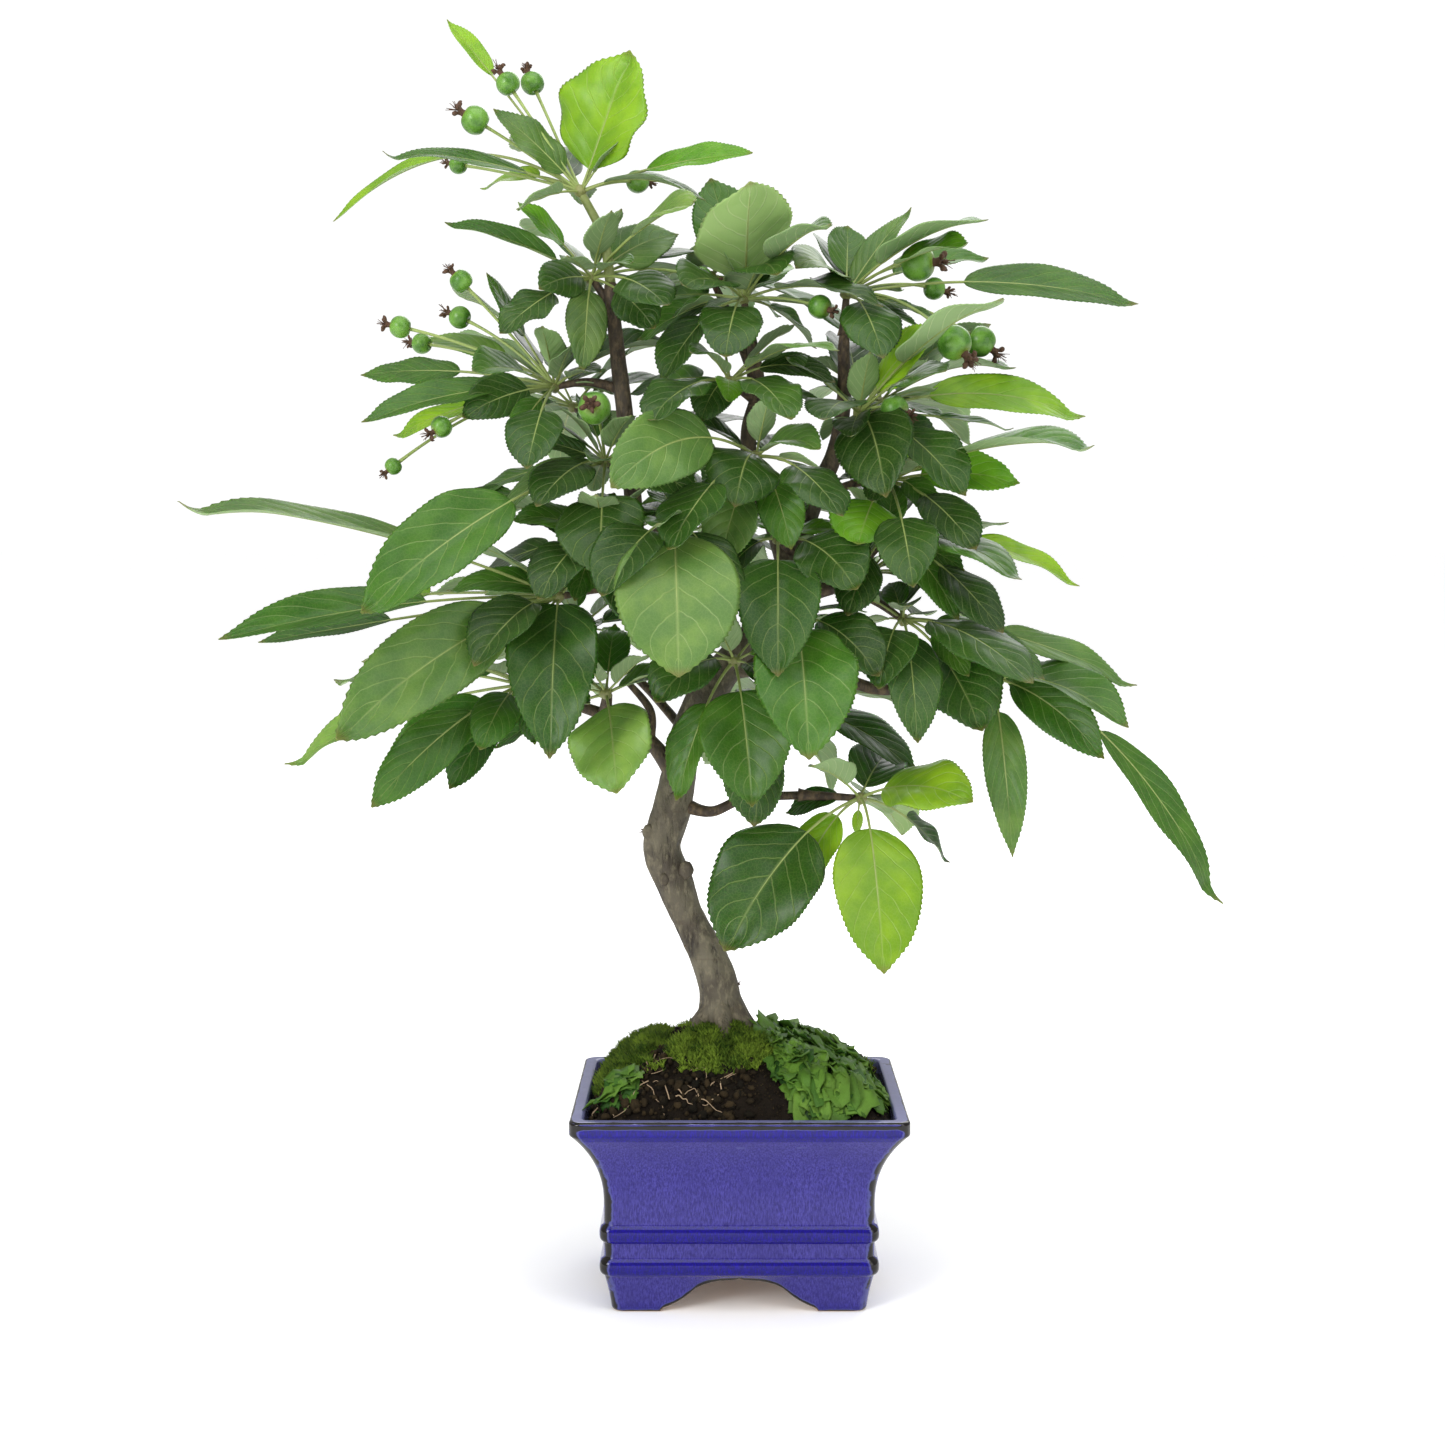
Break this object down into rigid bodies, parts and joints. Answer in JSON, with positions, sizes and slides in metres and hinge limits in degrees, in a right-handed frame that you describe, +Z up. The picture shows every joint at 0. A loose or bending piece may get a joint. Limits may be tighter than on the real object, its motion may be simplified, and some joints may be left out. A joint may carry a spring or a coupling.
{
  "type": "potted bonsai tree",
  "caption": "Bonsai tree with an S-curved trunk, toothed green leaves and small green fruit, rooted in a soil mound with moss in a footed rectangular glazed pot.",
  "frame": {"origin": "centre of the pot's footprint, on the ground it stands on", "axes": "+Z up, +X to the right seen from the pot's front, -Y towards the viewer at the front"},
  "size_m": [0.4198, 0.2145, 0.5384],
  "materials": {
    "glaze": "gloss",
    "drainage_mesh": "matte",
    "staple_wire": "satin",
    "soil": "matte",
    "moss": "matte",
    "liverwort": "satin",
    "bark": "matte",
    "fruit_skin": "gloss",
    "leaf": "satin",
    "young_leaf": "satin"
  },
  "bodies": {
    "root": {"pot": "glaze", "drainage_screen_left": "drainage_mesh", "screen_staple_left": "staple_wire", "drainage_screen_right": "drainage_mesh", "screen_staple_right": "staple_wire", "soil": "soil", "moss_front": "moss", "moss_left": "moss", "liverwort_right": "liverwort", "liverwort_left": "liverwort", "trunk": "bark", "fruit_1": "fruit_skin", "fruit_2": "fruit_skin", "fruit_3": "fruit_skin", "fruit_4": "fruit_skin", "fruit_5": "fruit_skin", "fruit_6": "fruit_skin", "fruit_7": "fruit_skin", "fruit_8": "fruit_skin", "fruit_9": "fruit_skin", "fruit_10": "fruit_skin", "fruit_11": "fruit_skin", "fruit_12": "fruit_skin", "fruit_13": "fruit_skin", "fruit_14": "fruit_skin", "fruit_15": "fruit_skin", "fruit_16": "fruit_skin", "fruit_17": "fruit_skin", "fruit_18": "fruit_skin", "fruit_19": "fruit_skin", "leaves_centre_front": "leaf", "leaves_centre_hanging": "leaf", "leaves_centre_high": "leaf", "leaves_centre_low": "leaf", "leaves_centre_right": "leaf", "leaves_left_arm_end": "leaf", "leaves_left_arm_middle": "leaf", "leaves_left_arm_upper": "leaf", "leaves_left_inner": "leaf", "leaves_left_leader_low": "leaf", "leaves_left_side": "leaf", "leaves_left_top_low": "leaf", "leaves_low_right": "young_leaf", "leaves_middle_low": "leaf", "leaves_middle_top": "leaf", "leaves_rear_centre_high": "leaf", "leaves_rear_centre_low": "leaf", "leaves_rear_foot": "leaf", "leaves_rear_left_high": "leaf", "leaves_rear_left_low": "leaf", "leaves_rear_right_high": "leaf", "leaves_rear_right_low": "leaf", "leaves_right_end": "leaf", "leaves_right_low": "leaf", "leaves_right_middle": "leaf", "leaves_right_shoulder": "leaf", "leaves_right_top": "leaf", "leaves_right_upper": "leaf", "leaves_top": "leaf"}
  },
  "joints": []
}
